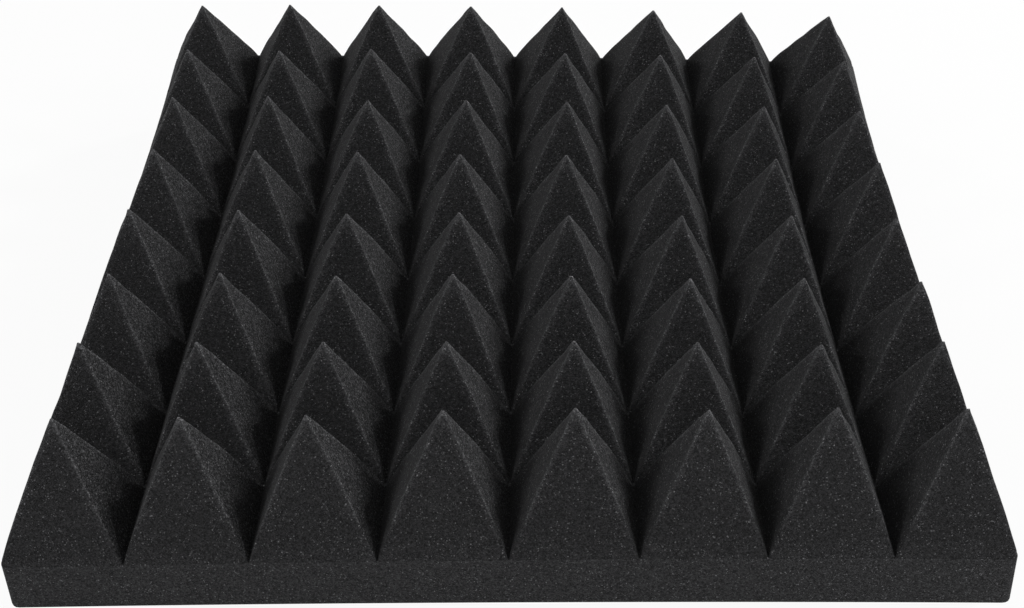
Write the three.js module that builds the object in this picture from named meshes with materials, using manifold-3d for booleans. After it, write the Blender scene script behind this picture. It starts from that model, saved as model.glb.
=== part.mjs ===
// Acoustic foam panel: a square of open-cell foam with a face of pyramids, cut by crossing grooves.
// Millimetres, +Z up. The flat back is on z = 0, the panel is centred on the Z axis, and row 1 is at -Y.
import * as THREE from "three";
import { mergeVertices } from "three/addons/utils/BufferGeometryUtils.js";
import Module from "manifold-3d";

// The panel
const PANEL_WIDTH = 500;
const PANEL_DEPTH = 500;
const BASE_THICKNESS = 30; // whole foam under the roots of the grooves
const ROW_WEB = 3; // top layer of the base that holds one row of pyramids together

// The pyramids, in rows along X
const PYRAMID_PITCH = 62.5;
const PYRAMID_HEIGHT = 70;
const TIP_WIDTH = 2;
const GROOVE_ROOT_WIDTH = 2;

// The curve that the blade leaves on each flank
const FLANK_SWELL = 1; // how far the lower half stands out past a straight flank
const FLANK_HOLLOW = 0.4; // how far the upper half falls in behind it
const FLANK_STEPS = 10;

const FULL_TURN = 2 * Math.PI;
const FOAM = { color: 0x2d2d2e, roughness: 0.95, metalness: 0 };

const wasm = await Module();
wasm.setup();

const baseTop = BASE_THICKNESS - ROW_WEB;
const rises = Array.from({ length: FLANK_STEPS + 1 }, (_, step) => step / FLANK_STEPS);

// The lines on both sides of each pyramid, where a groove runs along each inner one. The pitch is fixed by
// the blade, so a panel has the number of pyramids that best fills it, and the outer ones are trimmed to fit.
function grooveLines(span) {
  const pyramids = Math.round(span / PYRAMID_PITCH);
  return Array.from({ length: pyramids + 1 }, (_, line) => (line - pyramids / 2) * PYRAMID_PITCH);
}

// Half a pyramid's width, where rise goes from 0 at the groove's root to 1 at the tip.
function halfWidth(rise) {
  const straight = THREE.MathUtils.lerp(PYRAMID_PITCH - GROOVE_ROOT_WIDTH, TIP_WIDTH, rise) / 2;
  const wave = Math.sin(FULL_TURN * rise);
  return straight + wave * (wave > 0 ? FLANK_SWELL : FLANK_HOLLOW);
}

// Side view of the foam above the slab, across a whole span: what one set of grooves leaves standing.
function toothProfile(span) {
  const lines = grooveLines(span);
  const reach = Math.max(span / 2, lines.at(-1));
  const height = (rise) => BASE_THICKNESS + rise * PYRAMID_HEIGHT;
  const profile = new THREE.Shape();
  profile.moveTo(-reach, baseTop);
  profile.lineTo(-reach, BASE_THICKNESS);
  for (const line of lines.slice(0, -1)) {
    const centre = line + PYRAMID_PITCH / 2;
    for (const rise of rises) profile.lineTo(centre - halfWidth(rise), height(rise));
    for (const rise of rises.toReversed()) profile.lineTo(centre + halfWidth(rise), height(rise));
  }
  profile.lineTo(reach, BASE_THICKNESS);
  profile.lineTo(reach, baseTop);
  return profile;
}

// Side view of the slab, the foam that no groove reaches.
function slabProfile(span) {
  const profile = new THREE.Shape();
  profile.moveTo(-span / 2, 0);
  profile.lineTo(span / 2, 0);
  profile.lineTo(span / 2, baseTop);
  profile.lineTo(-span / 2, baseTop);
  return profile;
}

// A profile is drawn with its own y up, and a unit extrusion of it is stretched between two places.
// Neighbours that share a place then share it to the last digit, and meet face to face.
function extrudeAlongX(profile, from, to) {
  const geometry = new THREE.ExtrudeGeometry(profile, { depth: 1, bevelEnabled: false });
  const place = new THREE.Matrix4().makeBasis(
    new THREE.Vector3(0, 1, 0),
    new THREE.Vector3(0, 0, 1),
    new THREE.Vector3(to - from, 0, 0),
  );
  return geometry.applyMatrix4(place.setPosition(from, 0, 0));
}

function extrudeAlongY(profile, from, to) {
  const geometry = new THREE.ExtrudeGeometry(profile, { depth: 1, bevelEnabled: false });
  const place = new THREE.Matrix4().makeBasis(
    new THREE.Vector3(1, 0, 0),
    new THREE.Vector3(0, 0, 1),
    new THREE.Vector3(0, from - to, 0),
  );
  return geometry.applyMatrix4(place.setPosition(0, to, 0));
}

function toSolid(geometry) {
  const bare = geometry.clone();
  bare.deleteAttribute("normal");
  bare.deleteAttribute("uv");
  const merged = mergeVertices(bare);
  return new wasm.Manifold(
    new wasm.Mesh({
      numProp: 3,
      vertProperties: merged.attributes.position.array,
      triVerts: new Uint32Array(merged.index.array),
    }),
  );
}

function toGeometry(solid) {
  const mesh = solid.getMesh();
  const geometry = new THREE.BufferGeometry();
  geometry.setAttribute("position", new THREE.BufferAttribute(mesh.vertProperties, 3));
  geometry.setIndex(new THREE.BufferAttribute(mesh.triVerts, 1));
  const faceted = geometry.toNonIndexed();
  faceted.computeVertexNormals();
  return faceted;
}

function foamMesh(name, geometry) {
  const mesh = new THREE.Mesh(geometry, new THREE.MeshStandardMaterial(FOAM));
  mesh.name = name;
  return mesh;
}

function baseSlab() {
  return extrudeAlongY(slabProfile(PANEL_WIDTH), -PANEL_DEPTH / 2, PANEL_DEPTH / 2);
}

// The grooves along Y shape the pyramids' sides, and the grooves along X shape their front and rear ends.
// What both sets of grooves leave standing between two places is a row of pyramids.
function pyramidRow(front, rear) {
  const sides = extrudeAlongY(toothProfile(PANEL_WIDTH), front, rear);
  const ends = extrudeAlongX(toothProfile(PANEL_DEPTH), -PANEL_WIDTH / 2, PANEL_WIDTH / 2);
  return toGeometry(toSolid(sides).intersect(toSolid(ends)));
}

const panel = new THREE.Group();
panel.add(foamMesh("base_slab", baseSlab()));

const grooves = grooveLines(PANEL_DEPTH).slice(1, -1);
const rowFronts = [-PANEL_DEPTH / 2, ...grooves];
const rowRears = [...grooves, PANEL_DEPTH / 2];
rowFronts.forEach((front, index) => {
  panel.add(foamMesh(`pyramid_row_${index + 1}`, pyramidRow(front, rowRears[index])));
});

export default panel;
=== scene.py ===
# %% [markdown]
# # A panel of acoustic foam, with a face of pyramids
#
# The panel is one square block of charcoal grey open-cell foam. Two sets of curved blades have cut its face,
# one set after the other at right angles, and what the cuts leave is eight rows of eight pyramids on a slab
# that stays whole. Foam gives way under a blade, so no two pyramids are quite alike: their pitch drifts,
# their ridges wander, and their tips are blunt. This lesson models one pyramid by hand, repeats it, adds the
# slab, and then lets the block relax as foam does. The finish, the stage, the lamps and the camera come last.
#
# The imported model is loaded first. It is the fixed frame: it gives the size and the place of everything, in
# metres.

# %% The frame
import math
import random

import bmesh
import bpy
from mathutils import Matrix, Vector


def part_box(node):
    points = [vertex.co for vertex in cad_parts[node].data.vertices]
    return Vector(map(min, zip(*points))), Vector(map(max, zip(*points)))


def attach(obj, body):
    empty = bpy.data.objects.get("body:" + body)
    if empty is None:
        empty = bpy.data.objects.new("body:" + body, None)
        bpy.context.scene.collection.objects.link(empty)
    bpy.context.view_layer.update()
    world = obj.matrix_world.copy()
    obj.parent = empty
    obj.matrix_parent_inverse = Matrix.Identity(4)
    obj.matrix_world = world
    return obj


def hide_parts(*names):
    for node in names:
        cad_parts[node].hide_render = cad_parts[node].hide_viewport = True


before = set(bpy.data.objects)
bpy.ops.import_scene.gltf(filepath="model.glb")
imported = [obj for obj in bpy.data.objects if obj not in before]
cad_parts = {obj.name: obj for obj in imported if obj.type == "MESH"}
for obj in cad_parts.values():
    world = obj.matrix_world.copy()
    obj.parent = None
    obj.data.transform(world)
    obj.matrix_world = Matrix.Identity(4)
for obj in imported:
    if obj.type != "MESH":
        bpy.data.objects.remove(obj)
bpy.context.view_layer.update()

# %% [markdown]
# The sizes come from the frame where it has them. The panel is as wide and deep as the slab's box, and as
# high as the box of the rows of pyramids. What the boxes don't tell is the height at which the grooves end,
# and how wide their ends and the tips are, so those are named here. Two vertices closer than SAME_PLACE count
# as one place, because sums of decimals are never quite exact.

# %% Sizes
slab_low, slab_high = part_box("base_slab")
PANEL_WIDTH = slab_high.x - slab_low.x
PANEL_DEPTH = slab_high.y - slab_low.y
PANEL_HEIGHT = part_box("pyramid_row_1")[1].z
PYRAMIDS_A_SIDE = 8
PITCH = PANEL_WIDTH / PYRAMIDS_A_SIDE
GROOVE_FLOOR = 0.030
GROOVE_END_HALF = 0.0003
PYRAMID_HEIGHT = PANEL_HEIGHT - GROOVE_FLOOR
FOOT_HALF = PITCH / 2 - GROOVE_END_HALF
TIP_HALF = 0.0004
SAME_PLACE = 1e-6
print(f"pitch {PITCH * 1000:.1f} mm, pyramids {PYRAMID_HEIGHT * 1000:.0f} mm high")

# %% [markdown]
# Operators act on whatever is selected, and loading the frame leaves its pieces selected. These small helpers
# put that right: one adds a primitive with nothing else selected and turns its place into mesh coordinates,
# and one selects parts of a mesh in edit mode by a test on their place.

# %% Helpers for modelling by hand
def start_from(add_primitive, name, **settings):
    bpy.ops.object.select_all(action="DESELECT")
    add_primitive(**settings)
    piece = bpy.context.object
    piece.name = name
    piece.data.name = name
    bpy.ops.object.transform_apply(location=True, rotation=True, scale=True)
    return piece


def select_where(piece, kind, test):
    mesh = bmesh.from_edit_mesh(piece.data)
    for part in getattr(mesh, kind):
        part.select_set(False)
    chosen = [part for part in getattr(mesh, kind) if test(part)]
    for part in chosen:
        part.select_set(True)
    mesh.select_flush_mode()
    bmesh.update_edit_mesh(piece.data)
    return len(chosen)


# %% [markdown]
# ## One pyramid
#
# A cone with four sides would be quick, but it has straight flanks, a needle point and knife edges. A real
# pyramid bulges by a millimetre, most in its lower half, because the foam springs back behind the blade.
# So it is drawn up from a square outline instead: the outline is extruded ring by ring, and each ring is
# resized to the width that the flank has at that height. The last rings close in a blunt, rounded tip.
#
# The outline is a plane without its face. Each side is cut into short edges, so that it can wander later.

# %% The outline at the foot of the pyramid
SIDE_STEPS = 10
first_centre = Vector((slab_low.x + PITCH / 2, slab_low.y + PITCH / 2, GROOVE_FLOOR))
foam = start_from(bpy.ops.mesh.primitive_plane_add, "foam_panel", size=PITCH, location=first_centre)
bpy.ops.object.mode_set(mode="EDIT")
bpy.ops.mesh.delete(type="ONLY_FACE")
bpy.ops.mesh.select_mode(type="EDGE")
bpy.ops.mesh.select_all(action="SELECT")
bpy.ops.mesh.subdivide(number_cuts=SIDE_STEPS - 1)
print("vertices round the outline:", len(bmesh.from_edit_mesh(foam.data).verts))

# %% [markdown]
# A ring is kept as its height over the groove and half its width, so the next ring knows what it starts from.
# The swell of the flank is half a sine wave. Its power under 1 moves the fullest place down the flank.

# %% The flanks, ring by ring
FLANK_SWELL = 0.0010
SWELL_POWER = 0.7
FLANK_RINGS = 18
TIP_ROUND = 0.0007


def half_width(rise):
    straight = FOOT_HALF + (TIP_HALF - FOOT_HALF) * rise
    return straight + FLANK_SWELL * math.sin(math.pi * rise ** SWELL_POWER)


def draw_ring(height, half, from_height, from_half):
    bpy.ops.mesh.extrude_edges_move(TRANSFORM_OT_translate={"value": (0, 0, height - from_height)})
    ratio = half / from_half
    centre = (first_centre.x, first_centre.y, GROOVE_FLOOR + height)
    bpy.ops.transform.resize(value=(ratio, ratio, 1), center_override=centre)
    return height, half


top_of_flank = PYRAMID_HEIGHT - TIP_ROUND
ring = draw_ring(0, half_width(0), 0, PITCH / 2)
for step in range(1, FLANK_RINGS + 1):
    height = top_of_flank * step / FLANK_RINGS
    ring = draw_ring(height, half_width(height / PYRAMID_HEIGHT), *ring)
print(f"the flanks end {ring[1] * 2000:.1f} mm wide, {ring[0] * 1000:.1f} mm up")

# %% [markdown]
# Two more rings follow a quarter of a circle over that end, made a little fuller by a power under 1.

# %% The blunt tip
TIP_TURNS = (30, 60)
TIP_POWER = 0.8
flank_end = ring[1]
for turn in TIP_TURNS:
    angle = math.radians(turn)
    dome_height = top_of_flank + TIP_ROUND * math.sin(angle)
    ring = draw_ring(dome_height, flank_end * math.cos(angle) ** TIP_POWER, *ring)
print(f"the last ring is {ring[1] * 2000:.1f} mm wide")

# %% [markdown]
# The four ridges are still knife edges. On foam, cells tear away along them, so they are bevelled. The bevel
# is a share of the neighbouring edges and not a fixed width, so it narrows towards the tip with everything
# else. The last ring is then filled, and the middle of that face is poked up to the full height.

# %% Soft ridges and a closed tip
RIDGE_BEVEL_PERCENT = 18
ROUND = 0.5


def on_ridge(vertex):
    across, along = abs(vertex.co.x - first_centre.x), abs(vertex.co.y - first_centre.y)
    return across < FOOT_HALF + SAME_PLACE and abs(across - along) < SAME_PLACE


def above(height):
    return lambda vertex: vertex.co.z > GROOVE_FLOOR + height - SAME_PLACE


ridge_edges = select_where(foam, "edges", lambda edge: all(on_ridge(end) for end in edge.verts))
bpy.ops.mesh.bevel(
    offset_type="PERCENT", offset_pct=RIDGE_BEVEL_PERCENT, segments=2, profile=ROUND, affect="EDGES")
select_where(foam, "edges", lambda edge: all(above(ring[0])(end) for end in edge.verts))
bpy.ops.mesh.edge_face_add()
bpy.ops.mesh.select_mode(type="FACE")
bpy.ops.mesh.poke(offset=PYRAMID_HEIGHT - ring[0])
bpy.ops.object.mode_set(mode="OBJECT")
print("ridge edges bevelled:", ridge_edges, "- faces in one pyramid:", len(foam.data.polygons))

# %% [markdown]
# ## Eight rows of eight
#
# Copies could be placed in a loop, but the Array modifier does it in two steps, first along a row and then
# row after row, and welds each copy to its neighbour where their outlines touch, on the floor of the groove.

# %% The field of pyramids
WELD = 0.00002
for axis, name in enumerate(("along the row", "row after row")):
    repeat = foam.modifiers.new(name, "ARRAY")
    repeat.count = PYRAMIDS_A_SIDE
    repeat.use_relative_offset = False
    repeat.use_constant_offset = True
    repeat.constant_offset_displace = [PITCH if axis == side else 0 for side in range(3)]
    repeat.use_merge_vertices = True
    repeat.merge_threshold = WELD
    bpy.ops.object.modifier_apply(modifier=name)
print("faces in the field:", len(foam.data.polygons))

# %% [markdown]
# ## The slab
#
# The slab isn't a second piece: pyramids and slab are one block. So the open border of the field is extruded
# down to the back of the panel in a few steps, which also gives the edges of the block enough vertices to be
# uneven later, and the last loop is filled with a grid.

# %% Down to the flat back
WALL_STEPS = 5
bpy.ops.object.mode_set(mode="EDIT")
bpy.ops.mesh.select_mode(type="EDGE")
bpy.ops.mesh.select_all(action="DESELECT")
bpy.ops.mesh.select_non_manifold()
for step in range(WALL_STEPS):
    bpy.ops.mesh.extrude_edges_move(TRANSFORM_OT_translate={"value": (0, 0, -GROOVE_FLOOR / WALL_STEPS)})
bpy.ops.mesh.fill_grid(span=PYRAMIDS_A_SIDE * SIDE_STEPS)
print("edges that are still open:", sum(edge.is_boundary for edge in bmesh.from_edit_mesh(foam.data).edges))

# %% [markdown]
# The block's outer edges are cut by a saw and then handled, so they get a rounding, wider at the four upright
# corners, which are pinched and knocked most. Drawn up from an outline, all the faces look into the foam so
# far, so they are flipped to look out.

# %% Rounded edges, and faces that look out
SAWN_EDGE = 0.0015
SAWN_CORNER = 0.0045
UPRIGHT_BELOW = 0.5


def at_edge(point, low, high):
    return min(abs(point - low), abs(point - high)) < SAME_PLACE


def at_side(point):
    return [at_edge(point[i], slab_low[i], slab_high[i]) for i in range(2)]


def on_corner(edge):
    first, last = (end.co for end in edge.verts)
    return abs(first.z - last.z) > SAME_PLACE and all(at_side((first + last) / 2))


def on_rim_of_back(edge):
    at_back = all(end.co.z < SAME_PLACE for end in edge.verts)
    return at_back and any(abs(face.normal.z) < UPRIGHT_BELOW for face in edge.link_faces)


corners = select_where(foam, "edges", on_corner)
bpy.ops.mesh.bevel(offset=SAWN_CORNER, segments=4, profile=ROUND, affect="EDGES")
rim = select_where(foam, "edges", on_rim_of_back)
bpy.ops.mesh.bevel(offset=SAWN_EDGE, segments=3, profile=ROUND, affect="EDGES")
bpy.ops.mesh.select_all(action="SELECT")
bpy.ops.mesh.flip_normals()
bpy.ops.object.mode_set(mode="OBJECT")
print("edges rounded:", corners, "at the corners,", rim, "round the back")

# %% [markdown]
# The bevel of a corner ends at the foot of the pyramid that stands on it, and that foot is still sharp. A
# bevel can't round it without cutting into the pyramid, so its vertices are pulled in instead: what lies past
# the rounding, seen from above, is drawn back to it, nearly all the way.

# %% The feet of the corner pyramids
PULL_IN_POWER = 0.9
pulled_in = 0
for vertex in foam.data.vertices:
    past = Vector([max(0, abs(vertex.co[i]) - slab_high[i] + SAWN_CORNER) for i in range(2)])
    if vertex.co.z > GROOVE_FLOOR - SAME_PLACE and past.length > SAWN_CORNER:
        squeezed = past * (SAWN_CORNER / past.length) ** PULL_IN_POWER
        for i in range(2):
            vertex.co[i] -= math.copysign(past[i] - squeezed[i], vertex.co[i])
        pulled_in += 1
print("vertices pulled in:", pulled_in, "- faces in the block:", len(foam.data.polygons))

# %% [markdown]
# ## Marks for the finish
#
# Ridges and tips look lighter than the flanks. Torn cells stand up there, and the finish also paints in light:
# a painted highlight where the rounded ridges catch the side light, and painted light at the tips, where light
# comes through thin foam. The sawn sides are a little lighter than the pyramids too, which a sharper blade has
# cut, and part of that lighter tone is painted light that the white floor throws up onto them. The right flank
# of each pyramid gets a grain of stronger contrast than the left, which is painted light: the hollows and
# glints of the cells where the softboxes on the right graze it. The finish will need to know where all that
# is, so it is stored on the mesh now, while it is easy to tell: how far each vertex is from the nearest ridge
# and from the tip, how much it belongs to a sawn side, and whether it is on a right flank.
#
# The painted light line on a ridge fades out near the foot, so the distance is made longer there. The edge
# between the pyramids and the sawn sides is a ridge as well, with a fainter painted light line, so its
# distance starts at an offset. Sideways, a distance is counted by the rise that goes with it on the flank. The
# lighter tone of a sawn side, with its painted floor light, also spreads a little past its edge.

# %% Where the ridges, tips, sawn sides and grazed right flanks are
# the painted highlight on the ridges fades out below this height
RIDGE_FADES_BELOW = 0.3 * PYRAMID_HEIGHT
RIDGE_FADE = 0.004
SAWN_RIDGE_OFFSET = 0.002
SAWN_HAZE = 0.030
SAWN_HAZE_SHARE = 0.4
MARKS = ("from_ridge", "from_tip", "sawn_and_bounce", "painted_grazing_flank")


def from_centre(point, axis):
    return (point[axis] - slab_low[axis]) % PITCH - PITCH / 2


for mark in MARKS:
    bpy.ops.geometry.attribute_add(name=mark, domain="POINT", data_type="FLOAT")
from_ridge, from_tip, sawn_and_bounce, painted_grazing_flank = (foam.data.attributes[mark].data for mark in MARKS)
for index, vertex in enumerate(foam.data.vertices):
    right, z = from_centre(vertex.co, 0), vertex.co.z
    across, along = abs(right), abs(from_centre(vertex.co, 1))
    over_floor = z > GROOVE_FLOOR - SAME_PLACE
    on_pyramid = over_floor and max(across, along) < FOOT_HALF + 10 * SAME_PLACE
    near_foot = max(0, 1 - (z - GROOVE_FLOOR) / RIDGE_FADES_BELOW)
    to_ridge = abs(across - along) + RIDGE_FADE * near_foot if on_pyramid else PITCH
    to_side = min(abs(abs(vertex.co[i]) - slab_high[i]) for i in range(2)) * PYRAMID_HEIGHT / FOOT_HALF
    to_sawn_edge = max(to_side, abs(z - GROOVE_FLOOR))
    haze = max(0, SAWN_HAZE_SHARE - to_sawn_edge / SAWN_HAZE)
    from_ridge[index].value = min(to_ridge, SAWN_RIDGE_OFFSET + to_sawn_edge)
    from_tip[index].value = PANEL_HEIGHT - z
    # sawn sides get 1 and a haze past their edges: a lighter tone, partly the sawn cut and partly painted
    # floor light
    sawn_and_bounce[index].value = 1 if any(at_side(vertex.co)) or not over_floor else haze
    # right flanks are marked for painted grazing light from the softboxes on the right
    painted_grazing_flank[index].value = on_pyramid and right > along
print("vertices on a ridge:", sum(item.value < SAME_PLACE for item in from_ridge))

# %% [markdown]
# ## Foam isn't steel
#
# The frame has 64 equal pyramids on a flat slab. In the real block no two are alike, so each gets a lean of
# its own. The lean grows from nothing at the foot, which keeps the flanks straight and the grooves in line.
# The draws of chance are seeded, so the panel comes out the same each time.

# %% Every pyramid leans its own way
LEAN = 0.0008
SEED = 24085
chance = random.Random(SEED)
leans = {
    (column, row): Vector((chance.gauss(0, LEAN), chance.gauss(0, LEAN), chance.gauss(0, LEAN / 2)))
    for column in range(PYRAMIDS_A_SIDE) for row in range(PYRAMIDS_A_SIDE)
}
for vertex in foam.data.vertices:
    rise = (vertex.co.z - GROOVE_FLOOR) / PYRAMID_HEIGHT
    if rise > SAME_PLACE:
        column, row = (int((vertex.co[i] - slab_low[i]) / PITCH) for i in range(2))
        vertex.co += leans[column, row] * rise
print("largest lean:", round(max(lean.length for lean in leans.values()) * 1000, 1), "mm")

# %% [markdown]
# The whole block has a shape of its own too. It spreads while it is cut, so the outer pyramids come out a
# little narrower than the inner ones, and it is slightly narrower at the rear. The slab is a bit thinner than
# its nominal size, and the grooves end higher towards the rear. The block also keeps a curl from lying
# packed: front and rear edges lift by some millimetres, the sides hang, and the whole is twisted a little, so
# that the pyramids near the edges lean inwards. All of that is one smooth move of the vertices, where u and v
# go from -1 to 1 across and along the block. The Simple Deform modifier bends a block as well, but it can't
# bend it by different amounts at its two ends.

# %% The block spreads and curls
SPREAD_ACROSS = 0.0024
SPREAD_ALONG = 0.0049
NARROWER = 0.007
NARROWER_REAR = 0.017
NARROWER_ENDS = 0.007
SHALLOW_REAR = 0.0122
THINNER = 0.0016
CURL = 0.0065
REAR_CURL = 0.0050
SAG = 0.0020
TWIST = -0.0026
CROSSED_TWIST = -0.0023


def relax(point):
    x, y, z = point
    u, v = 2 * x / PANEL_WIDTH, 2 * y / PANEL_DEPTH
    rear = max(0, v)
    taper = 1 - NARROWER - NARROWER_REAR * v - NARROWER_ENDS * v * v
    x = (x + SPREAD_ACROSS * math.sin(math.pi * u)) * taper
    y += SPREAD_ALONG * math.sin(math.pi * v)
    below_tip = z / GROOVE_FLOOR if z < GROOVE_FLOOR else (PANEL_HEIGHT - z) / PYRAMID_HEIGHT
    z += SHALLOW_REAR * rear * rear * max(0, below_tip) - THINNER * min(1, z / GROOVE_FLOOR)
    across = 1 - 2 * v * v
    lift = CURL * v * v + REAR_CURL * rear * rear - SAG * u * u + TWIST * u * v + CROSSED_TWIST * u * across
    slope_x = (TWIST * v + CROSSED_TWIST * across - 2 * SAG * u) * 2 / PANEL_WIDTH
    slope_y = (2 * CURL * v + 2 * REAR_CURL * rear + TWIST * u - 4 * CROSSED_TWIST * u * v) * 2 / PANEL_DEPTH
    return Vector((x - z * slope_x, y - z * slope_y, z + lift))


for vertex in foam.data.vertices:
    vertex.co = relax(vertex.co)
print("highest point now at", round(max(v.co.z for v in foam.data.vertices) * 1000, 1), "mm")

# %% [markdown]
# The last irregularities follow no rule: grooves wander, and ridges aren't drawn with a ruler. The Displace
# modifier with a cloud texture does both, with large clouds and then with small ones. The three colours of
# the clouds push along the three axes. A vertex group holds the back and the sawn sides still, and lets go
# more and more towards the tips.

# %% Small drifts
HELD_SHARE = 0.25
LOOSENS = 1.4


def drift(name, size, push):
    clouds = bpy.data.textures.new(name, "CLOUDS")
    clouds.noise_scale = size
    clouds.noise_depth = 0
    clouds.cloud_type = "COLOR"
    modifier = foam.modifiers.new(name, "DISPLACE")
    modifier.texture = clouds
    modifier.texture_coords = "LOCAL"
    modifier.direction = "RGB_TO_XYZ"
    modifier.vertex_group = "loose"
    modifier.strength = push
    bpy.ops.object.modifier_apply(modifier=name)


loose = foam.vertex_groups.new(name="loose")
for vertex in foam.data.vertices:
    looseness = vertex.co.z / PANEL_HEIGHT * LOOSENS - HELD_SHARE
    loose.add([vertex.index], min(1, max(0, looseness)), "REPLACE")
drift("wandering grooves", size=0.085, push=0.0020)
drift("wandering ridges", size=0.012, push=0.0009)
print("highest point after the drifts:", round(max(v.co.z for v in foam.data.vertices) * 1000, 1), "mm")

# %% [markdown]
# Foam lies on its lowest place, so the block is lowered until that touches the floor. Smooth shading is kept
# to the faces that meet at a small angle, because the sawn edges and the roots of the grooves are sharp.

# %% Down on the floor
SMOOTH_BELOW = 25
lowest = min(vertex.co.z for vertex in foam.data.vertices)
for vertex in foam.data.vertices:
    vertex.co.z -= lowest
bpy.ops.object.shade_smooth_by_angle(angle=math.radians(SMOOTH_BELOW))
print("sides of the foam's box in mm:", [round(side * 1000, 1) for side in foam.dimensions])

# %% [markdown]
# ## The foam's finish
#
# Close up, this foam has no surface: it is a mesh of thin struts round open cells, about half a millimetre
# wide. From a step away the cells show as a fine grain of dark and lighter dots, with a few bright specks
# where a cell wall happens to face the light. Real cells would need millions of faces, and an image of foam
# would stretch on the flanks. So the grain is worked out from the place of each point in the block, as if the
# cells went right through it, as they do.
#
# A finish is mostly sums, and sums are easier to read as Python than as a net of nodes. A Wire is the output
# of a node, and Python's operators on it add Math nodes. A Finish holds the nodes, and adds any other one.

# %% Shader sums written as Python
class Wire:
    """A number that changes over a surface. Python's operators on it add Math nodes."""

    def __init__(self, finish, socket):
        self.finish = finish
        self.socket = socket

    def math(self, operation, first, second):
        made = self.finish.node("ShaderNodeMath", {"operation": operation}, {0: first, 1: second})
        return Wire(self.finish, made.outputs[0])

    def __add__(self, other):
        return self.math("ADD", self, other)

    def __radd__(self, other):
        return self.math("ADD", other, self)

    def __rsub__(self, other):
        return self.math("SUBTRACT", other, self)

    def __mul__(self, other):
        return self.math("MULTIPLY", self, other)

    def __rmul__(self, other):
        return self.math("MULTIPLY", other, self)

    def __pow__(self, other):
        return self.math("POWER", self, other)

    def fade(self, reach):
        """1 where the number is 0, and falling off over the given reach."""
        return self.math("POWER", math.e, self * (-1 / reach))


class Finish:
    """The nodes of a material or of the world, with one method that adds any node."""

    def __init__(self, owner):
        owner.use_nodes = True
        self.tree = owner.node_tree
        self.tree.nodes.clear()

    def node(self, kind, settings=None, inputs=None):
        made = self.tree.nodes.new(kind)
        for name, value in (settings or {}).items():
            setattr(made, name, value)
        for name, value in (inputs or {}).items():
            if isinstance(value, Wire):
                value = value.socket
            if isinstance(value, bpy.types.NodeSocket):
                self.tree.links.new(value, made.inputs[name])
            else:
                made.inputs[name].default_value = value
        return made

    def wire(self, kind, settings=None, inputs=None, output=0):
        return Wire(self, self.node(kind, settings, inputs).outputs[output])


# %% [markdown]
# A Voronoi texture is a good stand-in for foam, because it fills space with cells of uneven shape. Each cell
# has a random colour, and two of its channels are used: one for how light the cell is, and one to pick out the
# few cells that get a painted glint. The distance to the middle of the cell is kept for the bump. Two noises
# add what cells alone don't have: clumps a few cells wide, and clouds of a centimetre or two.

# %% Cells, clumps and clouds
CELL = 0.00055
CLUMP_SCALE = 650
CLOUD_SCALE = 45
foam_material = bpy.data.materials.new("charcoal open-cell foam")
foam_finish = Finish(foam_material)
spot = foam_finish.node("ShaderNodeTexCoord").outputs["Object"]
cells = foam_finish.node("ShaderNodeTexVoronoi", {"feature": "F1"}, {"Vector": spot, "Scale": 1 / CELL})
cell_colour = {"Color": cells.outputs["Color"]}
cell_tone = foam_finish.wire("ShaderNodeSeparateColor", None, cell_colour, "Red")
cell_pick = foam_finish.wire("ShaderNodeSeparateColor", None, cell_colour, "Green")
depth = Wire(foam_finish, cells.outputs["Distance"])
clump = foam_finish.wire("ShaderNodeTexNoise", None, {"Vector": spot, "Scale": CLUMP_SCALE, "Detail": 1})
cloud = foam_finish.wire("ShaderNodeTexNoise", None, {"Vector": spot, "Scale": CLOUD_SCALE, "Detail": 3})
print("cells across the panel:", round(PANEL_WIDTH / CELL))

# %% [markdown]
# The marks on the mesh come back as attributes. The two distances are turned into masks that are 1 on the
# ridge or the tip and fall off over a short reach. All of that multiplies into one tone: grain, times the
# painted grazing light of the right flanks, times the painted highlights of ridges and tips and the lighter
# sawn sides, plus the specks, which are painted glints and more common on the ridges. A high power of a random
# number is near 0 for most cells and near 1 for very few, which is what picks out the specks. Cells, clumps
# and clouds are each a least tone and a range over it.

# %% How light each place is
RIDGE_REACH = 0.0011
TIP_REACH = 0.0030
# painted highlight on the ridges and painted light at the tips; the sawn sides lighter partly as painted floor
# light
RIDGE_HIGHLIGHT, TIP_HIGHLIGHT, SAWN_AND_BOUNCE_LIGHTER = 1.0, 2.2, 0.5
# the specks are painted glints of cell walls facing the light
SPECK_LIGHT, SPECK_POWER = 7.0, 40
RIDGE_SPECK_LIGHT, RIDGE_SPECK_POWER = 3.5, 3
# painted grazing light: stronger grain contrast and a darker share on the right flanks
GRAZING_CONTRAST, GRAZING_DARKER = 1.4, 0.25
CELL_LEAST, CELL_RANGE = 0.3, 1.4
CLUMP_LEAST, CLUMP_RANGE = 0.4, 1.2
CLOUD_LEAST, CLOUD_RANGE = 0.92, 0.2


def marked(name):
    return foam_finish.wire("ShaderNodeAttribute", {"attribute_name": name}, None, "Fac")


ridge = marked("from_ridge").fade(RIDGE_REACH)
tip = marked("from_tip").fade(TIP_REACH)
grazing_mask = marked("painted_grazing_flank")
# painted highlights of ridges and tips, and the sawn sides' lighter tone, partly painted floor light
highlights_and_sawn_tone = 1 + RIDGE_HIGHLIGHT * ridge + TIP_HIGHLIGHT * tip + SAWN_AND_BOUNCE_LIGHTER * marked("sawn_and_bounce")
# painted glints, more of them on the ridges
painted_glints = SPECK_LIGHT * cell_pick ** SPECK_POWER + RIDGE_SPECK_LIGHT * ridge * cell_pick ** RIDGE_SPECK_POWER
grain = (CELL_LEAST + CELL_RANGE * cell_tone) * (CLUMP_LEAST + CLUMP_RANGE * clump)
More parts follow.
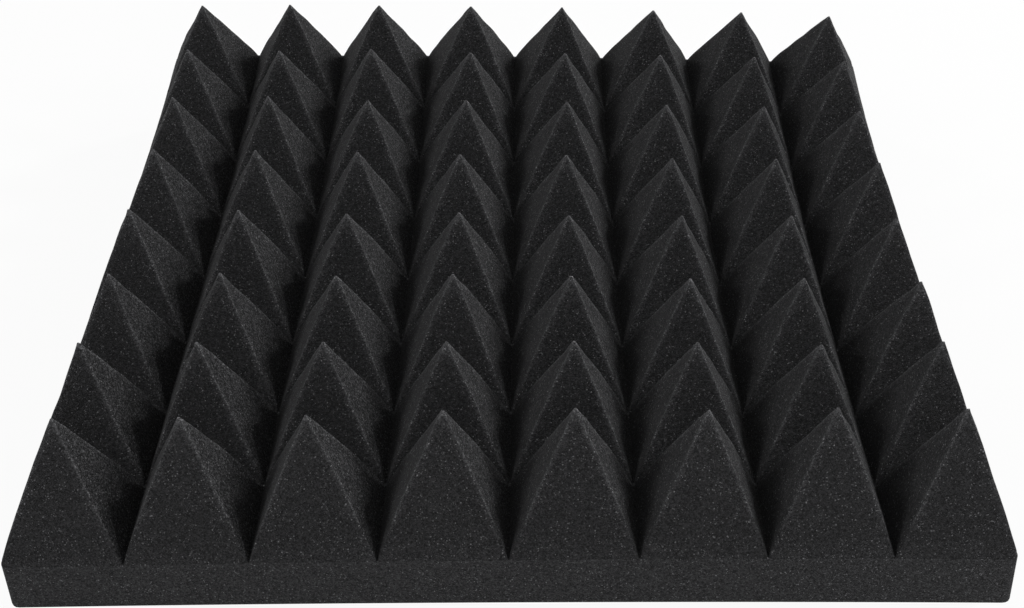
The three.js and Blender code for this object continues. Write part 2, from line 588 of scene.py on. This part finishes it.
# painted grazing light on the right flanks
grazed_grain = grain ** (1 + GRAZING_CONTRAST * grazing_mask) * (1 - GRAZING_DARKER * grazing_mask)
tone = grazed_grain * (CLOUD_LEAST + CLOUD_RANGE * cloud) * highlights_and_sawn_tone + painted_glints
print("nodes up to the tone:", len(foam_finish.tree.nodes))

# %% [markdown]
# The tone multiplies the charcoal colour through a Mix node, because a Math node would turn the colour grey.
# The bump gives each cell a small hollow of its own, which makes the grain answer to the light. Foam is matt,
# so the shader is rough all over, with little specular light.

# %% Open-cell foam
FOAM_COLOUR = (0.026, 0.026, 0.027, 1)
CELL_RELIEF = 0.0005
RELIEF_STRENGTH = 0.9
ROUGHNESS_LEAST, ROUGHNESS_RANGE = 0.88, 0.1
SPECULAR = 0.15
strength = foam_finish.wire("ShaderNodeCombineXYZ", None, {"X": tone, "Y": tone, "Z": tone})
colour = foam_finish.node(
    "ShaderNodeMix",
    {"data_type": "RGBA", "blend_type": "MULTIPLY"},
    {0: 1.0, 6: FOAM_COLOUR, 7: strength},
).outputs[2]
bump = foam_finish.node(
    "ShaderNodeBump", None, {"Strength": RELIEF_STRENGTH, "Distance": CELL_RELIEF, "Height": 1 - depth})
shader = foam_finish.node("ShaderNodeBsdfPrincipled", None, {
    "Base Color": colour,
    "Roughness": ROUGHNESS_LEAST + ROUGHNESS_RANGE * cell_tone,
    "Specular IOR Level": SPECULAR,
    "Normal": bump.outputs[0],
})
foam_finish.node("ShaderNodeOutputMaterial", None, {"Surface": shader.outputs[0]})
foam.data.materials.append(foam_material)
print("foam finish has", len(foam_finish.tree.nodes), "nodes")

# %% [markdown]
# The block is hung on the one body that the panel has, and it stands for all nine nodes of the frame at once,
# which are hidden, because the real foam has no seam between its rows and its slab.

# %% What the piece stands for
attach(foam, "root")
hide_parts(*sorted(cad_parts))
print("nodes that the foam stands for:", len(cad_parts))

# %% [markdown]
# ## The stage
#
# The panel lies on white paper in a white room, and both should look white. But paper and walls that are lit
# until they photograph white throw so much light on charcoal foam that its flanks lose their shape. So what
# the camera sees is kept apart from what lights the foam. The Light Path node tells which rays look: those
# from the camera, and those that come from it by a reflection or through glass. They see white, where a
# strength of 1 is white, and all the other rays see a plain, dimmer stage.

# %% Which rays look
LOOKING = ("Is Camera Ray", "Is Glossy Ray", "Is Transmission Ray")


def looked_at(finish):
    camera_ray, glossy_ray, through_ray = (finish.wire("ShaderNodeLightPath", output=ray) for ray in LOOKING)
    return camera_ray + glossy_ray + through_ray


print("kinds of rays that look:", len(LOOKING))

# %% [markdown]
# The paper is one large plane. It isn't all white to the camera: a small share of its own shading stays, and
# with it the soft shadow of the panel.

# %% Floor
FLOOR_SIDE = 12
PAPER = (0.85, 0.85, 0.85, 1)
PAPER_WHITE_SHARE = 0.94
floor = start_from(bpy.ops.mesh.primitive_plane_add, "floor", size=FLOOR_SIDE, location=(0, 0, 0))
paper_material = bpy.data.materials.new("white paper")
paper = Finish(paper_material)
paper_shading = paper.node("ShaderNodeBsdfDiffuse", None, {"Color": PAPER})
paper_white = paper.node("ShaderNodeEmission", None, {"Strength": 1.0})
paper_surface = paper.node(
    "ShaderNodeMixShader",
    None,
    {0: looked_at(paper) * PAPER_WHITE_SHARE, 1: paper_shading.outputs[0], 2: paper_white.outputs[0]},
)
paper.node("ShaderNodeOutputMaterial", None, {"Surface": paper_surface.outputs[0]})
floor.data.materials.append(paper_material)
print("floor is", round(floor.dimensions.x, 1), "m wide")

# %% [markdown]
# The room is the world's background: white to look at, and for the foam only a little light from all round,
# which keeps the crossings of the grooves from going fully black.

# %% World
WORLD_LIGHT = 0.035
WHITE = (1, 1, 1, 1)
bpy.context.scene.world = bpy.data.worlds.new("studio")
room = Finish(bpy.context.scene.world)
room_light = room.node("ShaderNodeBackground", None, {"Color": WHITE, "Strength": WORLD_LIGHT})
room_white = room.node("ShaderNodeBackground", None, {"Color": WHITE, "Strength": 1.0})
room_mix = room.node(
    "ShaderNodeMixShader",
    None,
    {0: looked_at(room), 1: room_light.outputs[0], 2: room_white.outputs[0]},
)
room.node("ShaderNodeOutputWorld", None, {"Surface": room_mix.outputs[0]})
print("light from all round:", WORLD_LIGHT)

# %% [markdown]
# The shape of dark foam shows only by how its flanks differ. So the softboxes stand at both sides, at about
# the slope of the flanks, and a little more light comes from the right. A wide one low in front lights the
# sawn front, and a wide one behind sets the tips off from the dark grooves. Each is placed by its turn round
# the panel, counted from the right as seen from above, and by its height, both in degrees.

# %% Lamps
LAMP_DISTANCE = 2.0
TARGET = Vector((0, 0, 0.05))
SMALL_BOX, WIDE_BOX = 0.35, 1.0


def softbox(name, turn, height, size, power):
    lamp = bpy.data.lights.new(name, "AREA")
    lamp.shape = "SQUARE"
    lamp.size = size
    lamp.energy = power
    holder = bpy.data.objects.new(name, lamp)
    bpy.context.scene.collection.objects.link(holder)
    turn, height = math.radians(turn), math.radians(height)
    away = Vector((math.cos(height) * math.cos(turn), math.cos(height) * math.sin(turn), math.sin(height)))
    holder.location = TARGET + LAMP_DISTANCE * away
    holder.rotation_euler = (-away).to_track_quat("-Z", "Y").to_euler()


softbox("right softbox, in front", -25, 35, SMALL_BOX, 10.5)
softbox("right softbox", 5, 35, SMALL_BOX, 8.2)
softbox("right softbox, behind", 40, 30, SMALL_BOX, 17.7)
softbox("left softbox, in front", 205, 35, SMALL_BOX, 6.5)
softbox("left softbox, high", 205, 48, SMALL_BOX, 4.7)
softbox("left softbox, behind", 140, 30, SMALL_BOX, 5.9)
softbox("rear softbox", 90, 40, WIDE_BOX, 3.5)
softbox("low front softbox", 270, 7, WIDE_BOX, 5.0)

# %% [markdown]
# The camera looks down on the panel from in front. Its tilt is counted from straight down. Its pan and roll
# are a fraction of a degree, as with any camera that is set up by eye. The Standard view transform keeps
# colours as they are written.

# %% Camera
LENS = 60.10
SENSOR_WIDTH = 36
CAMERA_PLACE = Vector((0.0015, -0.8550, 0.6344))
tilt, pan, roll = (math.radians(angle) for angle in (54.08, 0.11, 0.43))
camera_data = bpy.data.cameras.new("camera")
camera_data.lens = LENS
camera_data.sensor_width = SENSOR_WIDTH
camera = bpy.data.objects.new("camera", camera_data)
bpy.context.scene.collection.objects.link(camera)
camera.matrix_world = Matrix.Translation(CAMERA_PLACE) @ (
    Matrix.Rotation(pan, 4, "Z") @ Matrix.Rotation(tilt, 4, "X") @ Matrix.Rotation(roll, 4, "Z"))
bpy.context.scene.camera = camera
bpy.context.scene.view_settings.view_transform = "Standard"
print("camera is", round((CAMERA_PLACE - TARGET).length, 2), "m from the panel")
